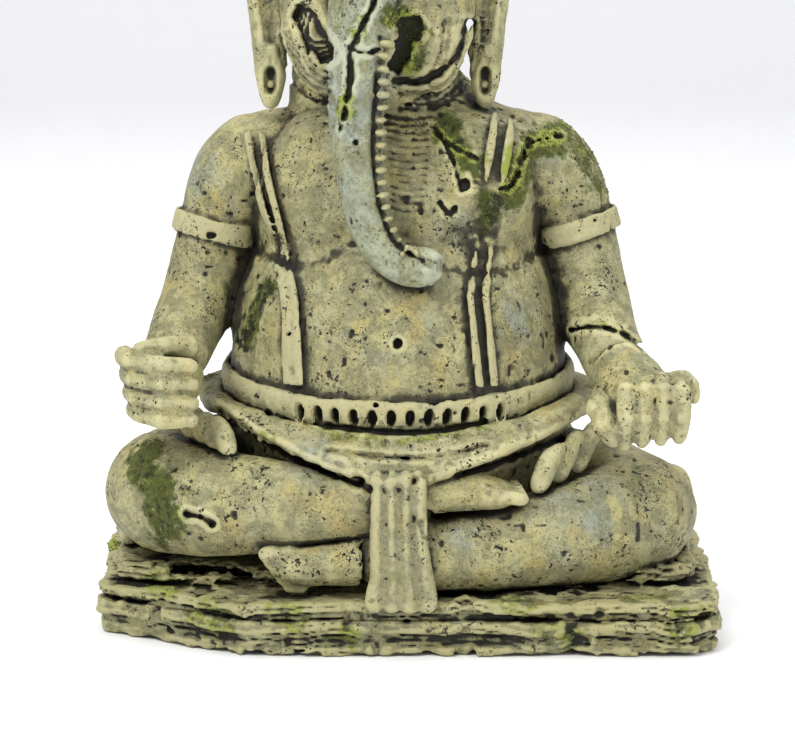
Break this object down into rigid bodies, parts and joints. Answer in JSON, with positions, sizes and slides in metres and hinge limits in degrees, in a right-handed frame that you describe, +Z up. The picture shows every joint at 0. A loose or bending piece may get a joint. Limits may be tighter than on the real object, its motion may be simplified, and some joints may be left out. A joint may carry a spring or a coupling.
{
  "type": "ganesha idol",
  "caption": "Seated elephant-headed idol in weathered painted cast stone, cross-legged on a layered rock base, to stand on a shelf or altar or in a garden.",
  "frame": {"origin": "middle of the base's outline, on the flat underside", "axes": "+Z up, the figure faces -Y, +X towards the viewer's right"},
  "size_m": [0.1394, 0.0919, 0.189],
  "materials": {
    "rock": "rough, layered, weathered with moss",
    "stone": "matte painted cast stone, pitted",
    "pale_stone": "matte cast stone with a pale blue-grey dry brush",
    "worn_trim": "matte cast stone, worn pale on the edges"
  },
  "bodies": {
    "root": {"base_slab": "rock", "base_cap": "rock", "seat_ledge": "rock", "torso": "stone", "right_leg": "stone", "left_leg": "stone", "right_foot": "stone", "left_foot": "stone", "right_arm": "stone", "left_arm": "stone", "waistcloth": "stone", "right_hip_pleats": "stone", "left_hip_pleats": "stone", "rear_drape": "stone", "head": "stone", "right_ear": "stone", "left_ear": "stone", "crown": "stone", "right_hand": "pale_stone", "left_hand": "pale_stone", "trunk": "pale_stone", "trunk_ribs": "pale_stone", "right_armband": "worn_trim", "left_armband": "worn_trim", "right_strap": "worn_trim", "left_strap": "worn_trim", "belt": "worn_trim", "belt_drops": "worn_trim", "front_sash": "worn_trim", "right_ear_stud": "worn_trim", "left_ear_stud": "worn_trim", "crown_band": "worn_trim", "crown_finial": "worn_trim"}
  },
  "joints": []
}
